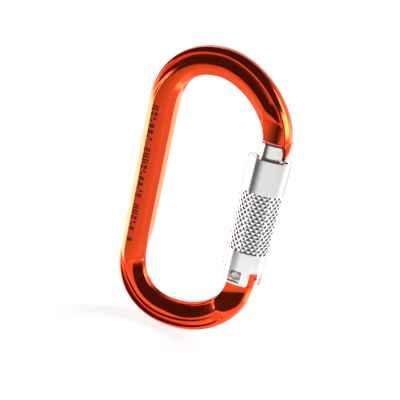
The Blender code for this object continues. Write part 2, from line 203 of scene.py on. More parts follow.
# --- Gate ---
GATE_R, GATE_TOP_Z = 5.35, GATE_HIGH.z
EAR_R, EAR_FLAT = 3.4, 4.6
FORK_HALF, FORK_ROOT_Z = 3.05, PIVOT.z + 5.6
SPRING_BORE_R, SPRING_BORE_END_Z = 2.1, 59.0
NOSE_SLOT_X, NOSE_SLOT_HALF, NOSE_SLOT_Z = 24.6, 3.1, 77.4
RING_GROOVE_R = 4.65
GUIDE_HOLE_R, GUIDE_Z = 1.3, 68.0
GATE_EDGE = 0.12            # width of the bevel on its edges
CUT_HALF, CUT_BELOW = 8.0, 8.0      # how far the fork's cutters reach past the axis and the pivot
VIEW_HALF, VIEW_ABOVE = 9.0, 5.0    # how far the side view reaches past the axis and the top

# --- Small parts ---
RIVET_R, RIVET_HEAD_R = 1.5, 2.35
RIVET_HEAD = (4.9, 6.2)     # distances from the middle plane of its underside and its top
# Each coil's mean radius, wire radius, lower and upper z, and turns.
GATE_COIL = (1.4, 0.35, 45.05, 58.35, 9)
SLEEVE_COIL = (6.2, 0.45, 44.1, 59.85, 5)
# Inner and outer radius, then where each ring starts and how far it goes round.
SNAP_RING, SNAP_RING_ARC = (4.95, 6.75), (25.0, 310.0)
BORE_RING, FULL_ARC = (5.65, 6.8), (0.0, 360.0)
TRACK_HALF, TRACK_MARGIN = 1.4, 14.0    # room round the pin in mm, and at each end in degrees
BUSH_EDGE = 0.08


# --- Mesh tools ---
def make_object(name, points, faces, sharp=35.0):
    """A mesh object from points in millimetres, with its normals facing out."""
    mesh = bpy.data.meshes.new(name)
    mesh.from_pydata([tuple(c * MM for c in p) for p in points], [], faces)
    bm = bmesh.new()
    bm.from_mesh(mesh)
    bmesh.ops.remove_doubles(bm, verts=bm.verts, dist=1e-7)
    bmesh.ops.recalc_face_normals(bm, faces=bm.faces)
    bm.to_mesh(mesh)
    bm.free()
    mesh.shade_smooth()
    mesh.set_sharp_from_angle(angle=math.radians(sharp))
    obj = bpy.data.objects.new(name, mesh)
    bpy.context.scene.collection.objects.link(obj)
    return obj


def loft(rings, closed=False):
    """Faces over a row of equal closed rings, capped at both ends unless closed."""
    count = len(rings[0])
    points = [p for ring in rings for p in ring]
    faces = []
    spans = len(rings) if closed else len(rings) - 1
    for i in range(spans):
        a, b = i * count, (i + 1) % len(rings) * count
        faces += [(a + j, a + (j + 1) % count, b + (j + 1) % count, b + j) for j in range(count)]
    if not closed:
        faces.append(tuple(range(count)))
        faces.append(tuple(range((len(rings) - 1) * count, len(rings) * count)))
    return points, faces


def turned(profile, segments, start=0.0, sweep=360.0):
    """Turn a closed outline of (radius, z) about the gate's axis."""
    closed = sweep >= 360.0
    steps = segments if closed else segments + 1
    rings = []
    for i in range(steps):
        a = math.radians(start + sweep * i / segments)
        rings.append([(GATE_X + r * math.cos(a), r * math.sin(a), z) for r, z in profile])
    return loft(rings, closed)


def stacked(profile, segments):
    """A solid round bar on the gate axis from its side's (radius, z) steps."""
    angles = [2 * math.pi * i / segments for i in range(segments)]
    return loft([[(GATE_X + r * math.cos(a), r * math.sin(a), z) for a in angles] for r, z in profile])


def along_y(profile, segments, centre):
    """A solid round bar parallel to Y from its side's (radius, y) steps."""
    angles = [2 * math.pi * i / segments for i in range(segments)]
    return loft([[(centre.x + r * math.cos(a), y, centre.z + r * math.sin(a)) for a in angles]
                 for r, y in profile])


def box(x, y, z):
    """A box from its lowest and highest x, y and z."""
    return loft([[(x[0], y[0], h), (x[1], y[0], h), (x[1], y[1], h), (x[0], y[1], h)] for h in z])


def rounded_loop(low, high, radius, steps=5):
    """A rectangle's outline with rounded corners, anticlockwise."""
    loop = []
    corners = ((high[0], high[1], 0), (low[0], high[1], 90), (low[0], low[1], 180),
               (high[0], low[1], 270))
    for cx, cy, start in corners:
        cx -= math.copysign(radius, cx - (low[0] + high[0]) / 2)
        cy -= math.copysign(radius, cy - (low[1] + high[1]) / 2)
        for i in range(steps + 1):
            a = math.radians(start + 90.0 * i / steps)
            loop.append((cx + radius * math.cos(a), cy + radius * math.sin(a)))
    return loop


def arc(cx, cz, radius, start, end, steps):
    """Points on an arc, with its angles in degrees."""
    angles = (math.radians(start + (end - start) * i / steps) for i in range(steps + 1))
    return [(cx + radius * math.cos(a), cz + radius * math.sin(a)) for a in angles]


def evaluated_mesh(obj):
    """A new mesh with the object's modifiers applied."""
    graph = bpy.context.evaluated_depsgraph_get()
    return bpy.data.meshes.new_from_object(obj.evaluated_get(graph))


def carve(obj, *tools, operation="DIFFERENCE"):
    """Cut or join with other objects, which then go."""
    for tool in tools:
        mod = obj.modifiers.new(tool.name, "BOOLEAN")
        mod.operation = operation
        mod.object = tool
        mod.solver = "EXACT"
        mod.material_mode = "TRANSFER"
    mesh = evaluated_mesh(obj)
    obj.modifiers.clear()
    obj.data = mesh
    for tool in tools:
        bpy.data.objects.remove(tool)
    mesh.shade_smooth()
    mesh.set_sharp_from_angle(angle=math.radians(35))
    return obj


def break_edges(obj, width, inside):
    """Take a narrow bevel off the sharp edges whose middle the test lets through."""
    mesh = obj.data
    bm = bmesh.new()
    bm.from_mesh(mesh)
    weight = bm.edges.layers.float.new("bevel_weight_edge")
    for edge in bm.edges:
        middle = (edge.verts[0].co + edge.verts[1].co) / 2 / MM
        if len(edge.link_faces) == 2 and edge.calc_face_angle(0.0) > math.radians(38) and inside(middle):
            edge[weight] = 1.0
    bm.to_mesh(mesh)
    bm.free()
    mod = obj.modifiers.new("broken_edges", "BEVEL")
    mod.limit_method = "WEIGHT"
    mod.width = width * MM
    mod.segments = 2
    mod.use_clamp_overlap = True
    obj.data = evaluated_mesh(obj)
    obj.modifiers.clear()
    obj.data.shade_smooth()
    obj.data.set_sharp_from_angle(angle=math.radians(35))


def finish_piece(obj, body, slot_name, mat, replaces):
    """Give a piece its material, its weighted normals, and its place in the frame."""
    if not any(obj.data.materials):
        obj.data.materials.clear()
        obj.data.materials.append(mat)
    mod = obj.modifiers.new("face_normals", "WEIGHTED_NORMAL")
    mod.keep_sharp = True
    mod.weight = 60
    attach(obj, body)
    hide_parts(replaces)
    return obj


# --- Materials ---
def new_material(name):
    """A node material, with its nodes, its links and its shader."""
    mat = bpy.data.materials.new(name)
    mat.use_nodes = True
    return mat, mat.node_tree.nodes, mat.node_tree.links, mat.node_tree.nodes["Principled BSDF"]


def object_coords(nodes, links, scale):
    """Object coordinates times a scale for each axis."""
    coords = nodes.new("ShaderNodeTexCoord")
    mapping = nodes.new("ShaderNodeMapping")
    mapping.inputs["Scale"].default_value = scale
    links.new(coords.outputs["Object"], mapping.inputs["Vector"])
    return mapping.outputs["Vector"]


def math_node(nodes, links, operation, first, second):
    """A Math node on two inputs, each a number or another node's output."""
    node = nodes.new("ShaderNodeMath")
    node.operation = operation
    for socket, value in zip(node.inputs, (first, second)):
        if isinstance(value, float):
            socket.default_value = value
        else:
            links.new(value, socket)
    return node.outputs["Value"]


def noise_at(nodes, links, vector, scale, detail=3.0):
    """Noise from zero to one, most of it near a half."""
    noise = nodes.new("ShaderNodeTexNoise")
    noise.inputs["Scale"].default_value = scale
    noise.inputs["Detail"].default_value = detail
    links.new(vector, noise.inputs["Vector"])
    return noise.outputs["Fac"]


def spread(nodes, links, value, low, high, from_low=0.3, from_high=0.7):
    """Stretch a value from one range to another, and hold it there."""
    ramp = nodes.new("ShaderNodeMapRange")
    ramp.inputs["From Min"].default_value = from_low
    ramp.inputs["From Max"].default_value = from_high
    ramp.inputs["To Min"].default_value = low
    ramp.inputs["To Max"].default_value = high
    links.new(value, ramp.inputs["Value"])
    return ramp.outputs["Result"]


def blend_colours(nodes, links, factor, first, second):
    """A colour between two others."""
    mix = nodes.new("ShaderNodeMix")
    mix.data_type = "RGBA"
    mix.inputs["A"].default_value = (*first, 1.0)
    mix.inputs["B"].default_value = (*second, 1.0)
    links.new(factor, mix.inputs["Factor"])
    return mix.outputs["Result"]


def edge_wear(nodes, links, colour, worn, patch, reach):
    """A colour with a paler one rubbed in along convex edges, in patches."""
    geometry = nodes.new("ShaderNodeNewGeometry")
    edge = spread(nodes, links, geometry.outputs["Pointiness"], 0.0, 1.0, *reach)
    rubbed = math_node(nodes, links, "MULTIPLY", edge, patch)
    mix = nodes.new("ShaderNodeMix")
    mix.data_type = "RGBA"
    mix.inputs["B"].default_value = (*worn, 1.0)
    links.new(rubbed, mix.inputs["Factor"])
    links.new(colour, mix.inputs["A"])
    return mix.outputs["Result"]


def bump(nodes, links, shader, height, strength, distance):
    """Let a height move the shader's normal, with the distance in metres."""
    node = nodes.new("ShaderNodeBump")
    node.inputs["Strength"].default_value = strength
    node.inputs["Distance"].default_value = distance
    links.new(height, node.inputs["Height"])
    links.new(node.outputs["Normal"], shader.inputs["Normal"])


def anodised_orange():
    """Polished forging under a clear orange anodised layer, with faint flow lines."""
    mat, nodes, links, shader = new_material("anodised_orange_metal")
    shader.inputs["Metallic"].default_value = 1.0
    coords = object_coords(nodes, links, (1.0, 1.0, 1.0))
    cloud = noise_at(nodes, links, coords, 60.0)
    colour = blend_colours(nodes, links, cloud, (0.92, 0.062, 0.008), (0.97, 0.080, 0.012))
    patch = spread(nodes, links, noise_at(nodes, links, coords, 350.0), 0.0, 0.6)
    colour = edge_wear(nodes, links, colour, (0.93, 0.20, 0.09), patch, (0.54, 0.62))
    links.new(colour, shader.inputs["Base Color"])
    fine = noise_at(nodes, links, coords, 2600.0, 2.0)
    links.new(spread(nodes, links, fine, 0.11, 0.17), shader.inputs["Roughness"])
    shader.inputs["Specular Tint"].default_value = (1.0, 0.56, 0.5, 1.0)
    shader.inputs["Coat Weight"].default_value = 0.15
    shader.inputs["Coat Roughness"].default_value = 0.05
    bump(nodes, links, shader, fine, 0.025, 0.00002)
    return mat


def engraved_dark():
    """Burnt, matt bottom of the laser-engraved marks."""
    mat, nodes, links, shader = new_material("engraved_mark")
    coords = object_coords(nodes, links, (1.0, 1.0, 1.0))
    grain = noise_at(nodes, links, coords, 9000.0)
    colour = blend_colours(nodes, links, grain, (0.16, 0.010, 0.003), (0.28, 0.020, 0.006))
    links.new(colour, shader.inputs["Base Color"])
    shader.inputs["Metallic"].default_value = 0.4
    shader.inputs["Roughness"].default_value = 0.75
    bump(nodes, links, shader, grain, 0.6, 0.00003)
    return mat


def satin_aluminium(name, colours, roughness, lines_z):
    """Turned aluminium: fine rings round the vertical axis, and a soft cloud in the polish."""
    mat, nodes, links, shader = new_material(name)
    shader.inputs["Metallic"].default_value = 1.0
    even = object_coords(nodes, links, (1.0, 1.0, 1.0))
    rings = noise_at(nodes, links, object_coords(nodes, links, (30.0, 30.0, lines_z)), 1.0, 2.0)
    cloud = noise_at(nodes, links, even, 220.0)
    patch = spread(nodes, links, noise_at(nodes, links, even, 900.0), 0.2, 1.0)
    colour = blend_colours(nodes, links, cloud, *colours)
    colour = edge_wear(nodes, links, colour, (0.93, 0.93, 0.92), patch, (0.54, 0.62))
    links.new(colour, shader.inputs["Base Color"])
    links.new(spread(nodes, links, rings, *roughness), shader.inputs["Roughness"])
    bump(nodes, links, shader, rings, 0.012, 0.00003)
    return mat


def plain_metal(name, colours, roughness, grain_scale, height=0.15):
    """Bare metal with a fine grain in its colour, polish and surface."""
    mat, nodes, links, shader = new_material(name)
    shader.inputs["Metallic"].default_value = 1.0
    coords = object_coords(nodes, links, (1.0, 1.0, 1.0))
    grain = noise_at(nodes, links, coords, grain_scale)
    links.new(blend_colours(nodes, links, grain, *colours), shader.inputs["Base Color"])
    links.new(spread(nodes, links, grain, *roughness), shader.inputs["Roughness"])
    bump(nodes, links, shader, grain, height, 0.00003)
    return mat


# --- Frame ---
def bend(apex_x, side_x, base_z, height, power, steps=400):
    """Points and outward directions of a quarter bend, from its side to its apex."""
    t = np.linspace(0.0, 0.5 * math.pi, steps)
    px = np.cos(t).clip(0.0) ** (2 / power)
    pz = np.sin(t) ** (2 / power)
    width = side_x - apex_x
    points = np.stack([apex_x + width * px, base_z + height * pz], axis=1)
    out = np.stack([px ** (power - 1) / width, pz ** (power - 1) / height], axis=1)
    return points, out


def frame_line():
    """The outer edge: points, outward directions and distance from the hinge end."""
    low, high = BOTTOM_LEFT[0], HEIGHT - TOP_LEFT[0]
    parts = [bend(BOTTOM_APEX_X, GATE_SIDE_X, BOTTOM_RIGHT[0], -BOTTOM_RIGHT[0], BOTTOM_RIGHT[1])]
    side = bend(BOTTOM_APEX_X, SPINE_X, low, -low, BOTTOM_LEFT[1])
    parts.append((side[0][::-1], side[1][::-1]))
    parts.append(bend(TOP_APEX_X, SPINE_X, high, TOP_LEFT[0], TOP_LEFT[1]))
    side = bend(TOP_APEX_X, GATE_SIDE_X, HEIGHT - TOP_RIGHT[0], TOP_RIGHT[0], TOP_RIGHT[1])
    parts.append((side[0][::-1], side[1][::-1]))
    points = np.concatenate([p for p, _ in parts])
    out = np.concatenate([n for _, n in parts])
    out /= np.linalg.norm(out, axis=1)[:, None]
    keep = np.r_[True, np.linalg.norm(np.diff(points, axis=0), axis=1) > 1e-6]
    # The gate's side stays open between the hinge end and the nose.
    keep &= ~((points[:, 0] > 0) & (points[:, 1] < NOSE_END_Z) & (points[:, 1] > BOTTOM_RIGHT[0] + 1))
    points, out = points[keep], out[keep]
    distance = np.r_[0.0, np.cumsum(np.linalg.norm(np.diff(points, axis=0), axis=1))]
    return points, out, distance


def stations():
    """Evenly spaced places for the sections: the outer edge, the way out, and the distance along it."""
    points, out, distance = frame_line()
    total = distance[-1]
    where = np.linspace(0.0, total, int(total / STATION) + 1)
    x, z = (np.interp(where, distance, points[:, k]) for k in (0, 1))
    nx, nz = (np.interp(where, distance, out[:, k]) for k in (0, 1))
    turn = np.arctan2(nz, nx)
    settle = np.clip((where - (total - NOSE_SETTLE)) / NOSE_SETTLE, 0.0, 1.0)
    turn *= 1.0 - settle * settle * (3 - 2 * settle)
    return x, z, np.cos(turn), np.sin(turn), where


def key_corners(keys, where):
    """The corners at each station: the keys' corners blended along the frame."""
    ends = np.array([k[0] for k in keys])
    corners = np.array([k[1] for k in keys])
    i = np.clip(np.searchsorted(ends, where, side="right") - 1, 0, len(keys) - 2)
    f = np.clip((where - ends[i]) / (ends[i + 1] - ends[i]), 0.0, 1.0)
    f = (f * f * (3 - 2 * f))[:, None, None]
    return corners[i] * (1 - f) + corners[i + 1] * f


def crowned(half, place):
    """The half sections with the flat face a little lower towards its edges."""
    outer, inner = place[:, len(ARCH_OUTER) - 1, 0], place[:, len(ARCH_OUTER), 0]
    middle, reach = ((outer + inner) / 2)[:, None], ((inner - outer) / 2)[:, None]
    half[:, :, 1] *= 1.0 - CROWN / THICK * np.clip((half[:, :, 0] - middle) / reach, -1.0, 1.0) ** 2
    return half


def half_sections(where, inner_keys):
    """Rounded half sections, as arrays of depth and height for each station."""
    corners = np.concatenate([key_corners(OUTER_KEYS, where), key_corners(inner_keys, where)], axis=1)
    place, reach = corners[:, :, :2], corners[:, :, 2]
    side = np.diff(place, axis=1)
    length = np.linalg.norm(side, axis=2)
    along = side / length[:, :, None]
    rows = [place[:, 0]]
    last = place[:, 0]
    for k in range(1, corners.shape[1] - 1):
        cut = np.minimum(reach[:, k], ROUND_SHARE * np.minimum(length[:, k - 1], length[:, k]))[:, None]
        start = place[:, k] - along[:, k - 1] * cut
        end = place[:, k] + along[:, k] * cut
        extra = SIDE_STEPS[k - 1]
        rows += [last + (start - last) * (j + 1) / (extra + 1) for j in range(extra)]
        for j in range(ROUND_STEPS):
            t = j / (ROUND_STEPS - 1)
            rows.append((1 - t) ** 2 * start + 2 * t * (1 - t) * place[:, k] + t * t * end)
        last = end
    rows += [last + (place[:, -1] - last) * (j + 1) / END_STEPS for j in range(END_STEPS - 1)]
    rows.append(place[:, -1])
    return crowned(np.stack(rows, axis=1), place)


def soft_min(a, b, reach):
    """The lower of two heights, with the crease between them rounded."""
    h = np.clip(reach - np.abs(a - b), 0.0, None) / reach
    return np.minimum(a, b) - h * h * reach * 0.25


def pocket_height(x, z):
    """How high the hinge's and the nose's pockets leave the metal above the middle plane."""
    drop = POCKET_CREASE_Z + POCKET_TILT * (x - POCKET_CENTRE[0]) - z
    ramp = POCKET_FLOOR + POCKET_SLOPE * (drop + np.sqrt(drop * drop + CREASE_ROUND)) / 2
    rim = np.hypot(x - POCKET_CENTRE[0], np.minimum(z - POCKET_CENTRE[1], 0.0)) - POCKET_R
    rim = np.maximum(rim, POCKET_LEFT_X - x)
    hinge = np.where(z < HINGE_ZONE_Z, ramp + WALL_SLOPE * np.clip(rim + WALL_START, 0.0, None), NO_LIMIT)
    curve = np.clip(x - NOSE_CURVE_X, 0.0, None)
    rise = NOSE_FLOOR + NOSE_CURVE * curve * curve
    rim = np.hypot(np.clip(x - NOSE_CENTRE[0], 0.0, None), np.clip(z - NOSE_CENTRE[1], 0.0, None)) - NOSE_R
    wall = WALL_SLOPE * np.clip(rim + WALL_START, 0.0, None)
    nose = np.where((z > NOSE_ZONE_Z) & (x > 0.0), rise + wall, NO_LIMIT)
    return hinge, nose


def sleeve_clearance(x, z):
    """Height that stays inside the locking sleeve's bore at the hinge end."""
    across = SLEEVE_CLEAR_R ** 2 - (x - GATE_X) ** 2
    inside = np.sqrt(np.clip(across, 0.04, None))
    above = np.clip(z - (SLEEVE_Z[0] - SLEEVE_CLEAR_BELOW), 0.0, 1.0)
    return np.where((z < HINGE_ZONE_Z) & (x > 0.0), inside * above + NO_LIMIT * (1 - above), NO_LIMIT)


def tongue_limit(x, y, z):
    """Thins the tongue within the sleeve, apart from the part that the notch shows in front."""
    start = np.where(y > 0.0, SLEEVE_Z[0] - STEP_BELOW, NOTCH_TOP_Z - STEP_BELOW)
    above = np.clip((z - start) / STEP_RUN, 0.0, 1.0)
    return np.where((z < HINGE_ZONE_Z) & (x > 0.0), POCKET_FLOOR + STEP_RISE * (1 - above), NO_LIMIT)


def tongue_rings(first_ring):
    """The hinge end above the bend: the first section carried up and rounded off."""
    base_z = first_ring[0][2]
    rings = []
    top = TONGUE_TOP_Z - base_z
    for i in range(TONGUE_STEPS, 0, -1):
        rise = top * i / TONGUE_STEPS
        over = max(rise - (top - TONGUE_CORNER), 0.0) / TONGUE_CORNER
        pull = TONGUE_CORNER * (1 - math.sqrt(max(1 - over * over, 0.0)))
        low, high = GATE_SIDE_X - WIDTH + pull, GATE_SIDE_X - pull
        ring = [(min(max(x, low), high), y, base_z + rise) for x, y, _ in first_ring]
        rings.append(ring)
    return rings


def limited(rings):
    """Sink the sides of each section to the pockets, the sleeve's clearance and the tongue."""
    p = np.array(rings)
    x, y, z = p[:, :, 0], p[:, :, 1], p[:, :, 2]
    height = np.abs(y)
    hinge, nose = pocket_height(x, z)
    for limit in (hinge, nose, sleeve_clearance(x, z), tongue_limit(x, y, z)):
        height = np.where(limit < LIMIT_MAX, soft_min(height, limit, EDGE_ROUND), height)
    height = np.clip(height, 0.0, None)
    p[:, :, 1] = np.sign(y) * height
    return p.tolist()


def frame_body():
    """The whole forging, from the hinge tongue round the two bends and the spine to the nose."""
    x, z, nx, nz, where = stations()
    front_half = half_sections(where, INNER_KEYS)
    back_half = half_sections(where, BACK_INNER_KEYS)[:, -2:0:-1]
    rings = []
    for i in range(len(where)):
        ring = []
        for side, half in ((-1.0, front_half[i]), (1.0, back_half[i])):
            u, h = half[:, 0], half[:, 1]
            ring += list(zip(x[i] - nx[i] * u, side * h, z[i] - nz[i] * u))
        rings.append(ring)
    rings = tongue_rings(rings[0]) + rings
    return loft(limited(rings))


def mark_bars():
    """Generic engraved marks: groups of dashes, blocks and dots, with no lettering."""
    low, high = MARKS_X
    z, i, group, in_group = MARKS_Z[1], 0, 0, 0
    while z - MARK_STEP > MARKS_Z[0]:
        if in_group == MARK_GROUPS[group % len(MARK_GROUPS)]:
            z -= MARK_STEP
            group += 1
            in_group = 0
            continue
        for u0, u1, v0, v1 in MARK_PATTERNS[(i * 5 + i // 4) % len(MARK_PATTERNS)]:
            across = (low + (high - low) * u0, low + (high - low) * u1)
            yield across, (z - v1 * MARK_LENGTH, z - v0 * MARK_LENGTH)
        z -= MARK_STEP
        i += 1
        in_group += 1


def marks_cutter(mat):
    """All the engraved bars as one solid cutter."""
    points, faces = [], []
    for x, z in mark_bars():
        p, f = box(x, (-THICK - 1.0, -THICK + MARK_DEPTH), z)
        faces += [tuple(i + len(points) for i in face) for face in f]
        points += p
    cutter = make_object("engraved_bars", points, faces)
    cutter.data.materials.append(mat)
    return cutter


def nose_lip():
    """The nose's lip, as level sections that narrow downwards."""
    rings = []
    for z, outer, half in NOSE_LIP:
        slot = min(LIP_SLOT_HALF, half)
        front = max(half, slot + 0.01)
        side = [(LIP_INNER_X, slot), (LIP_FRONT_X, slot), (LIP_FRONT_X + 0.01, front),
                (outer - 0.25 - 0.4 * (front - slot), front), (outer, max(front - 2.6, 0.5))]
        rings.append([(x, -y, z) for x, y in side] + [(x, y, z) for x, y in reversed(side)])
    return loft(rings)


def build_frame(orange, dark):
    """The forged frame with its nose's lip, its rivet hole and its engraved marks."""
    piece = make_object("forged_frame", *frame_body())
    piece.data.materials.append(orange)
    lip = make_object("nose_lip", *nose_lip())
    lip.data.materials.append(orange)
    carve(piece, lip, operation="UNION")
    hole = make_object("pin_hole", *along_y([(PIN_HOLE_R, -9.0), (PIN_HOLE_R, 9.0)], 48, PIVOT))
    hole.data.materials.append(orange)
    carve(piece, hole, marks_cutter(dark))
    return finish_piece(piece, "frame_body", "anodised_orange", orange, replaces="frame")


# --- Sleeve ---
def knurl_radius(i, j):
    """Radius of the knurled surface at a grid point: two crossing sets of V grooves."""
    u, v = i / KNURL_STEPS, j / KNURL_STEPS
    near = min(abs(u + v - round(u + v)), abs(u - v - round(u - v)))
    return SLEEVE_R - KNURL_DEPTH * max(0.0, 1.0 - near / KNURL_WIDTH)


def sleeve_body():
    """The sleeve's wall as rings of points, closed from the outside over the rim to the bore."""
    columns = KNURL_COUNT * KNURL_STEPS
    dz = KNURL_PITCH_Z / KNURL_STEPS
    low, high = SLEEVE_Z
    r = SLEEVE_R
    rows = [(r - 0.3, low), (r - 0.09, low + 0.09), (r, low + 0.3), (r, KNURL_FROM_Z - 0.12)]
    first = len(rows)
    rows += [(None, KNURL_FROM_Z + j * dz) for j in range(KNURL_ROWS + 1)]
    last = len(rows) - 1
    top = KNURL_FROM_Z + KNURL_ROWS * dz
    rows += [(r, top + 0.12), (r, high - 0.22), (r - 0.06, high - 0.06), (r - 0.22, high),
             (LIP_R + 0.12, high), (LIP_R, high - 0.12), (LIP_R, LIP_Z), (BORE_R, LIP_Z),
             (BORE_R, low + 0.15), (BORE_R + 0.15, low)]
    points = []
    for k, (radius, z) in enumerate(rows):
        for i in range(columns):
            a = 2 * math.pi * i / columns
            here = knurl_radius(i, k - first) if radius is None else radius
            points.append((GATE_X + here * math.cos(a), here * math.sin(a), z))
    faces = []
    for k in range(len(rows)):
        for i in range(columns):
            a, b = k * columns + i, k * columns + (i + 1) % columns
            c, d = ((k + 1) % len(rows) * columns + (i + 1) % columns), (k + 1) % len(rows) * columns + i
            if not first <= k < last:
                faces.append((a, b, c, d))
                continue
            u, v = (i + 0.5) / KNURL_STEPS, (k - first + 0.5) / KNURL_STEPS
            rising = abs(u - v - round(u - v)) < abs(u + v - round(u + v))
            faces += [(a, b, c), (a, c, d)] if rising else [(a, b, d), (b, c, d)]
    return points, faces


def notch_top(across, width):
    """Height of the notch at a distance across it, with flared lower and rounded upper corners."""
    edge = min(across, width - across)
    low = SLEEVE_Z[0]
    if edge < 0:
        f = NOTCH_FLARE + edge
        return low + NOTCH_FLARE - math.sqrt(max(NOTCH_FLARE ** 2 - f * f, 0.0)) - 0.02
    f = max(NOTCH_INNER - edge, 0.0)
    return NOTCH_TOP_Z - NOTCH_INNER + math.sqrt(max(NOTCH_INNER ** 2 - f * f, 0.0))


def notch_cutter():
    """The notch that lets the sleeve pass the frame, wrapped round the sleeve's wall."""
    start = math.radians(NOTCH_ANGLES[0]) * SLEEVE_R
    width = math.radians(NOTCH_ANGLES[1] - NOTCH_ANGLES[0]) * SLEEVE_R
    across = [-NOTCH_FLARE * (1 - math.sin(0.5 * math.pi * i / 8)) for i in range(1, 8)]
    across += [-0.001, 0.001]
    across += [NOTCH_INNER * (1 - math.cos(0.5 * math.pi * i / 6)) for i in range(1, 7)]
    middle = [NOTCH_INNER + (width - 2 * NOTCH_INNER) * i / 12 for i in range(1, 12)]
    across = across + middle + [width - a for a in reversed(across)]
    below = SLEEVE_Z[0] - 2
    rings = []
    for a in across:
        angle = (start + a) / SLEEVE_R
        z = notch_top(a, width)
        rings.append([(GATE_X + r * math.cos(angle), r * math.sin(angle), h)
                      for r, h in zip(NOTCH_WALL + NOTCH_WALL[::-1], (below, below, z, z))])
    return make_object("lower_notch", *loft(rings))


def build_sleeve(silver):
    """The knurled sleeve with its rivet window, lower notch and room for the nose."""
    sleeve = make_object("knurled_sleeve", *sleeve_body(), sharp=25.0)
    window = rounded_loop((WINDOW_X[0], WINDOW_Z[0]), (WINDOW_X[1], WINDOW_Z[1]), 0.5)
    window = make_object("rivet_window", *loft([[(x, y, z) for x, z in window] for y in (-12.0, 12.0)]))
    inner, outer, low, high = 4.0, BORE_R - 0.04, LIP_Z - 1, SLEEVE_Z[1] + 2
    ring = ((inner, low), (outer, low), (outer, high), (inner, high))
    a, b = NOSE_CLEAR_ANGLES
    clear = make_object("nose_clearance", *turned(ring, 60, start=a, sweep=b - a))
    gap = rounded_loop(
        (GATE_X - NOSE_GAP_HALF, NOSE_GAP_Z), (GATE_X + NOSE_GAP_HALF, SLEEVE_Z[1] + 6), 0.8)
    gap = make_object("nose_gap", *loft([[(x, y, z) for x, z in gap] for y in (4.0, 12.0)]))
    carve(sleeve, window, notch_cutter(), clear, gap)
    low, high = KNURL_FROM_Z - 1.0, KNURL_FROM_Z + KNURL_ROWS * KNURL_PITCH_Z / KNURL_STEPS + 1.0
    break_edges(sleeve, SLEEVE_EDGE, lambda p: not low < p.z < high)
    return finish_piece(sleeve, "sleeve_body", "satin_aluminium", silver, replaces="locking_sleeve")


# --- Gate ---
def guide_ring(x, radius):
    """A circle round the guide pin's axis, which is parallel to X."""
    return [(x, y, z) for y, z in arc(0.0, GUIDE_Z, radius, 0.0, 352.5, 47)]


def gate_blank():
    """The gate's rod with its ring groove, cut to the side view of its rounded hinge ears."""
    groove = node_box("retaining_ring")
    groove = (groove[0].z - 0.3, groove[1].z + 0.3)
    top = GATE_TOP_Z
    steps = ((GATE_R, GATE_LOW.z - 1.0), (GATE_R, groove[0]), (RING_GROOVE_R, groove[0]),
             (RING_GROOVE_R, groove[1]), (GATE_R, groove[1]), (GATE_R, top - 0.6),
             (GATE_R - 0.12, top - 0.26), (GATE_R - 0.55, top))
    gate = make_object("gate_rod", *stacked(steps, 128))
    shoulder = FORK_ROOT_Z - 0.4
    left, right, above = GATE_X - VIEW_HALF, GATE_X + VIEW_HALF, top + VIEW_ABOVE
    low = arc(PIVOT.x, PIVOT.z, EAR_R, 180.0, 360.0, 40)
    side_view = ([(left, above), (left, shoulder), (PIVOT.x - EAR_R, shoulder)] + low
                 + [(PIVOT.x + EAR_R, shoulder), (right, shoulder), (right, above)])
    side_view = make_object("gate_side_view", *loft([[(x, y, z) for x, z in side_view] for y in (-7.0, 7.0)]))
    return carve(gate, side_view, operation="INTERSECT")


def gate_cutters():
    """The fork's slot, the ears' flats, the nose's slot and the holes in the gate."""
    across, below = (GATE_X - CUT_HALF, GATE_X + CUT_HALF), PIVOT.z - CUT_BELOW
    cutters = [make_object("fork_slot", *box(across, (-FORK_HALF, FORK_HALF), (below, FORK_ROOT_Z)))]
    for side, name in ((-1, "ear_flat_front"), (1, "ear_flat_back")):
        y = sorted((side * EAR_FLAT, side * 8.0))
        cutters.append(make_object(name, *box(across, y, (below, FORK_ROOT_Z - 1.0))))
    cutters.append(make_object("gate_pin_hole", *along_y([(PIN_HOLE_R, -8.0), (PIN_HOLE_R, 8.0)], 48, PIVOT)))
    bore = stacked(((SPRING_BORE_R, FORK_ROOT_Z - 2), (SPRING_BORE_R, SPRING_BORE_END_Z)), 48)
    cutters.append(make_object("spring_bore", *bore))
    slot = rounded_loop((NOSE_SLOT_X, -NOSE_SLOT_HALF), (GATE_X + 12, NOSE_SLOT_HALF), 0.5)
    slot = loft([[(x, y, z) for x, y in slot] for z in (NOSE_SLOT_Z, GATE_TOP_Z + 3)])
    cutters.append(make_object("nose_slot", *slot))
    low, high = node_box("guide_pin")
    hole = [guide_ring(x, GUIDE_HOLE_R) for x in (low.x - 3.0, high.x + 0.3)]
    cutters.append(make_object("guide_pin_hole", *loft(hole)))
    return cutters


def build_gate(silver):
    """The gate, forked round the frame's tongue and slotted for the nose."""
    gate = gate_blank()
    carve(gate, *gate_cutters())
    break_edges(gate, GATE_EDGE, lambda p: True)
    return finish_piece(gate, "gate_body", "satin_aluminium", silver, replaces="gate")


def build_rivet(steel):
    """Rivet along Y with domed, slightly dished heads."""
    under, top = RIVET_HEAD
    r = RIVET_HEAD_R
    head = [(0.12, top - 0.16), (0.7, top - 0.13), (1.15, top - 0.02), (1.45, top), (1.7, top - 0.1),
            (r - 0.08, top - 0.34), (r, top - 0.6), (r, under + 0.1), (r - 0.1, under), (RIVET_R, under)]
    steps = [(radius, -y) for radius, y in head] + [(radius, y) for radius, y in reversed(head)]
    rivet = make_object("hinge_rivet_headed", *along_y(steps, 64, PIVOT))
    return finish_piece(rivet, "frame_body", "steel", steel, replaces="hinge_rivet")


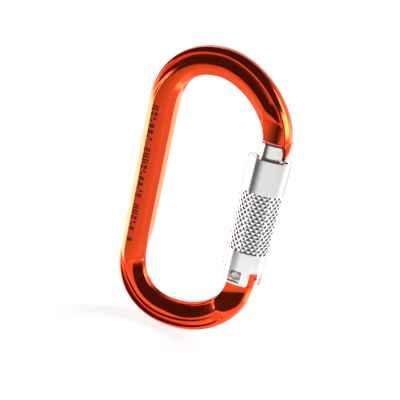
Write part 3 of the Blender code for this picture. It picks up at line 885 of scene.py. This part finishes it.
def coil(mean_r, wire_r, z_from, z_to, turns, steps=48, sides=14):
    """A coil spring with closed end turns, as a tube along its centre line."""
    count = turns * steps
    rings = []
    for i in range(count + 1):
        f = i / count
        rise = min(max((f * turns - 0.5) / (turns - 1.0), 0.0), 1.0)
        a = 2 * math.pi * turns * f
        out = Vector((math.cos(a), math.sin(a), 0))
        centre = Vector((GATE_X, 0, z_from + (z_to - z_from) * rise)) + out * mean_r
        rings.append([tuple(centre + (out * math.cos(t) + Vector((0, 0, 1)) * math.sin(t)) * wire_r)
                      for t in (2 * math.pi * k / sides for k in range(sides))])
    return loft(rings)


def build_springs(spring_steel):
    """The two coils, the gate's and the sleeve's."""
    rows = (("gate_coil", GATE_COIL, "gate_spring", "plunger_slide"),
            ("sleeve_coil", SLEEVE_COIL, "sleeve_spring", "sleeve_lift"))
    for name, size, node, joint in rows:
        piece = make_object(name, *coil(*size))
        finish_piece(piece, "gate_body", "spring_steel", spring_steel, replaces=node)
        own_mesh(piece)


def ring_profile(radii, heights, edge=0.12):
    """A rectangular ring section with its edges broken."""
    (a, b), (low, high) = radii, heights
    return [(a + edge, low), (b - edge, low), (b, low + edge), (b, high - edge), (b - edge, high),
            (a + edge, high), (a, high - edge), (a, low + edge)]


def build_rings(steel, spring_steel, bronze):
    """The thin rings inside the sleeve, with broken edges."""
    rows = (
        ("open_retaining_ring", "retaining_ring", SNAP_RING, SNAP_RING_ARC,
         "gate_body", "spring_steel", spring_steel),
        ("sleeve_spring_seat", "spring_seat", BORE_RING, FULL_ARC, "sleeve_body", "bronze", bronze),
        ("thrust_washer", "lift_washer", BORE_RING, FULL_ARC, "lift_body", "steel", steel))
    for name, node, radii, (start, sweep), body, slot_name, mat in rows:
        low, high = node_box(node)
        piece = make_object(name, *turned(ring_profile(radii, (low.z, high.z)), 96, start, sweep))
        finish_piece(piece, body, slot_name, mat, replaces=node)


def build_cam_bush(bronze):
    """The bush with the open track that the guide pin runs in."""
    low, high = node_box("cam_bush")
    bush = make_object("cam_track_bush", *turned(ring_profile(BORE_RING, (low.z, high.z)), 96))
    lift = JOINTS["sleeve_lift"]["range_m"][1] / MM
    turn = JOINTS["sleeve_turn"]["range_deg"][1]
    z = (GUIDE_Z - lift - TRACK_HALF, GUIDE_Z + TRACK_HALF)
    track = ((4.0, z[0]), (9.0, z[0]), (9.0, z[1]), (4.0, z[1]))
    cut = turned(track, 48, start=180.0 - TRACK_MARGIN, sweep=turn + 2 * TRACK_MARGIN)
    cut = make_object("cam_track", *cut)
    carve(bush, cut)
    break_edges(bush, BUSH_EDGE, lambda p: True)
    return finish_piece(bush, "sleeve_body", "bronze", bronze, replaces="cam_bush")


def build_pins(steel):
    """The guide pin in the gate's side and the plunger under the gate spring."""
    low, high = node_box("guide_pin")
    r = (high.z - low.z) / 2
    steps = ((r - 0.2, low.x), (r - 0.06, low.x + 0.06), (r, low.x + 0.2), (r, high.x - 0.1),
             (r - 0.1, high.x))
    pin = make_object("guide_peg", *loft([guide_ring(x, radius) for radius, x in steps]))
    finish_piece(pin, "gate_body", "steel", steel, replaces="guide_pin")
    low, high = node_box("spring_plunger")
    r = (high.x - low.x) / 2
    steps = ((r - 0.7, low.z), (r - 0.3, low.z + 0.12), (r - 0.06, low.z + 0.4), (r, low.z + 0.7),
             (r, high.z - 0.2), (r - 0.2, high.z))
    plunger = make_object("domed_plunger", *stacked(steps, 48))
    finish_piece(plunger, "plunger_body", "steel", steel, replaces="spring_plunger")


# --- Stage ---
# Camera angles in degrees; its distance and lens in millimetres.
CAMERA_AZIMUTH, CAMERA_ELEVATION, CAMERA_ROLL = 18.34, 16.01, 12.86
CAMERA_DISTANCE, CAMERA_LENS = 232.41, 54.95
CAMERA_TARGET = Vector((-1.35, 0.0, 53.85))
FLOOR_X, FLOOR_Y = (-150.0, 700.0), (-340.0, 1500.0)
FLOOR_GLOW = 0.86
BACKDROP = 1.05             # strength of the world where the camera sees it
SUN_FROM = Vector((0.30, 0.45, 0.84))
SUN_WIDTH, SUN_POWER = 30.0, 3.0


def make_camera():
    """The camera at the photo's angle, tilted as the photo is."""
    az, el = math.radians(CAMERA_AZIMUTH), math.radians(CAMERA_ELEVATION)
    back = Vector((math.sin(az) * math.cos(el), -math.cos(az) * math.cos(el), math.sin(el)))
    data = bpy.data.cameras.new("studio_camera")
    data.lens = CAMERA_LENS
    data.sensor_width = 36.0
    data.clip_start, data.clip_end = 0.01, 20.0
    camera = bpy.data.objects.new("studio_camera", data)
    bpy.context.scene.collection.objects.link(camera)
    turn = (-back).to_track_quat("-Z", "Y").to_matrix() @ Matrix.Rotation(math.radians(CAMERA_ROLL), 3, "Z")
    camera.matrix_world = Matrix.Translation((CAMERA_TARGET + back * CAMERA_DISTANCE) * MM) @ turn.to_4x4()
    bpy.context.scene.camera = camera


def make_floor():
    """A plain pale table top, a little self-lit so that its shadow stays faint."""
    (left, right), (near, far) = FLOOR_X, FLOOR_Y
    points = [(left, near, 0.0), (right, near, 0.0), (right, far, 0.0), (left, far, 0.0)]
    floor = make_object("studio_floor", points, [(0, 1, 2, 3)])
    mat, nodes, links, shader = new_material("pale_floor")
    coords = object_coords(nodes, links, (1.0, 1.0, 1.0))
    tone = noise_at(nodes, links, coords, 6.0)
    links.new(blend_colours(nodes, links, tone, (0.19, 0.19, 0.19), (0.21, 0.21, 0.21)),
              shader.inputs["Base Color"])
    shader.inputs["Roughness"].default_value = 0.9
    shader.inputs["Specular IOR Level"].default_value = 0.0
    shader.inputs["Emission Color"].default_value = (1.0, 1.0, 1.0, 1.0)
    shader.inputs["Emission Strength"].default_value = FLOOR_GLOW
    floor.data.materials.append(mat)
    floor.visible_glossy = False


def window_node(nodes, links, value, low, high, soft):
    """One between low and high, and a smooth fall to zero past each end."""
    rise = nodes.new("ShaderNodeMapRange")
    fall = nodes.new("ShaderNodeMapRange")
    for node, a, b in ((rise, low - soft, low), (fall, high + soft, high)):
        node.interpolation_type = "SMOOTHSTEP"
        node.inputs["From Min"].default_value = a
        node.inputs["From Max"].default_value = b
        links.new(value, node.inputs["Value"])
    return math_node(nodes, links, "MULTIPLY", rise.outputs["Result"], fall.outputs["Result"])


# Soft light banks round the table: azimuth from, to and softness, elevation from,
# to and softness, and strength. Azimuth 0 is the front (-Y) and 90 the right.
BANKS = (
    ((-180.0, 180.0, 0.1), (-90.0, -31.0, 11.0), 0.85),
    ((-11.0, 42.0, 38.0), (-34.0, -1.0, 6.0), 0.86),
    ((80.0, 104.0, 38.0), (-34.0, -9.0, 6.0), 0.86),
    ((-90.0, -68.0, 5.0), (-50.0, 2.0, 12.0), 1.6),
    ((-118.0, -102.0, 8.0), (-26.0, -8.0, 8.0), 8.5),
    ((-100.0, -80.0, 6.0), (-10.0, 18.0, 8.0), 4.0),
    ((-190.0, -134.0, 8.0), (-30.0, -8.0, 8.0), 0.66),
    ((-210.0, -130.0, 8.0), (2.0, 24.0, 9.0), 0.95),
    ((-64.0, -36.0, 5.0), (-40.0, -21.0, 5.0), 0.3),
    ((106.0, 160.0, 12.0), (-60.0, 10.0, 12.0), 0.75),
    ((130.0, 156.0, 8.0), (-33.0, -27.0, 4.0), 2.5),
    ((114.0, 141.0, 7.0), (12.0, 38.0, 9.0), 10.0),
    ((141.0, 155.0, 7.0), (-1.0, 9.0, 4.0), 2.0),
    ((162.0, 174.0, 6.0), (-24.0, -4.0, 8.0), 3.6),
)
DIM = 0.06                  # strength of the world between the banks


def bank_light(nodes, links, azimuth, elevation, bank):
    """How brightly one bank shines in a direction, with its azimuths wrapped round the circle."""
    (a, b, soft), (low, high, fade), strength = bank
    across = window_node(nodes, links, azimuth, a, b, soft)
    for shift in (360.0, -360.0):
        wrapped = window_node(nodes, links, azimuth, a + shift, b + shift, soft)
        across = math_node(nodes, links, "MAXIMUM", across, wrapped)
    up = window_node(nodes, links, elevation, low, high, fade)
    both = math_node(nodes, links, "MULTIPLY", across, up)
    return math_node(nodes, links, "MULTIPLY", both, strength)


def direction_angles(nodes, links):
    """The azimuth and elevation, in degrees, that a ray of light comes from."""
    coords = nodes.new("ShaderNodeTexCoord")
    axes = nodes.new("ShaderNodeSeparateXYZ")
    links.new(coords.outputs["Generated"], axes.inputs["Vector"])
    elevation = math_node(nodes, links, "ARCSINE", axes.outputs["Z"], 0.0)
    elevation = math_node(nodes, links, "MULTIPLY", elevation, 180.0 / math.pi)
    minus_y = math_node(nodes, links, "MULTIPLY", axes.outputs["Y"], -1.0)
    azimuth = math_node(nodes, links, "ARCTAN2", axes.outputs["X"], minus_y)
    azimuth = math_node(nodes, links, "MULTIPLY", azimuth, 180.0 / math.pi)
    return azimuth, elevation


def light_world():
    """A dim studio lit by the banks; the backdrop itself shows white."""
    world = bpy.data.worlds.new("studio")
    bpy.context.scene.world = world
    world.use_nodes = True
    nodes, links = world.node_tree.nodes, world.node_tree.links
    azimuth, elevation = direction_angles(nodes, links)
    total = None
    for bank in BANKS:
        part = bank_light(nodes, links, azimuth, elevation, bank)
        total = part if total is None else math_node(nodes, links, "ADD", total, part)
    total = math_node(nodes, links, "ADD", total, DIM)
    path = nodes.new("ShaderNodeLightPath")
    choose = nodes.new("ShaderNodeMix")
    choose.data_type = "FLOAT"
    links.new(path.outputs["Is Camera Ray"], choose.inputs["Factor"])
    links.new(total, choose.inputs["A"])
    choose.inputs["B"].default_value = BACKDROP
    background = nodes["Background"]
    background.inputs["Color"].default_value = (1.0, 1.0, 1.0, 1.0)
    links.new(choose.outputs["Result"], background.inputs["Strength"])


def light_lamp():
    """A wide soft light from high behind the right, which throws the faint shadow forward."""
    data = bpy.data.lights.new("soft_box", "SUN")
    data.angle = math.radians(SUN_WIDTH)
    data.energy = SUN_POWER
    lamp = bpy.data.objects.new("soft_box", data)
    bpy.context.scene.collection.objects.link(lamp)
    turn = (-SUN_FROM).to_track_quat("-Z", "Y").to_matrix().to_4x4()
    lamp.matrix_world = Matrix.Translation(SUN_FROM) @ turn
    lamp.visible_glossy = False


def set_colours():
    """Colours without a film look, and a denoised picture."""
    scene = bpy.context.scene
    scene.view_settings.view_transform = "Standard"
    scene.view_settings.look = "None"
    scene.cycles.use_denoising = True


def main():
    """Make the materials, the stage and then the twelve pieces."""
    orange = anodised_orange()
    dark = engraved_dark()
    silver = satin_aluminium(
        "satin_aluminium_turned", ((0.81, 0.81, 0.80), (0.84, 0.84, 0.83)), (0.20, 0.24), 9000.0)
    gate_silver = satin_aluminium(
        "polished_aluminium", ((0.86, 0.86, 0.85), (0.90, 0.90, 0.89)), (0.14, 0.2), 7000.0)
    steel = plain_metal(
        "rivet_steel", ((0.56, 0.55, 0.53), (0.66, 0.65, 0.63)), (0.28, 0.42), 1600.0)
    spring_steel = plain_metal(
        "drawn_spring_steel", ((0.36, 0.36, 0.37), (0.48, 0.48, 0.48)), (0.25, 0.4), 2600.0)
    bronze = plain_metal(
        "sintered_bronze", ((0.50, 0.34, 0.17), (0.60, 0.43, 0.24)), (0.35, 0.55), 5200.0, 0.4)
    make_camera()
    set_colours()
    make_floor()
    light_world()
    light_lamp()
    build_frame(orange, dark)
    build_sleeve(silver)
    build_gate(gate_silver)
    build_rivet(steel)
    build_springs(spring_steel)
    build_rings(steel, spring_steel, bronze)
    build_cam_bush(bronze)
    build_pins(steel)


main()
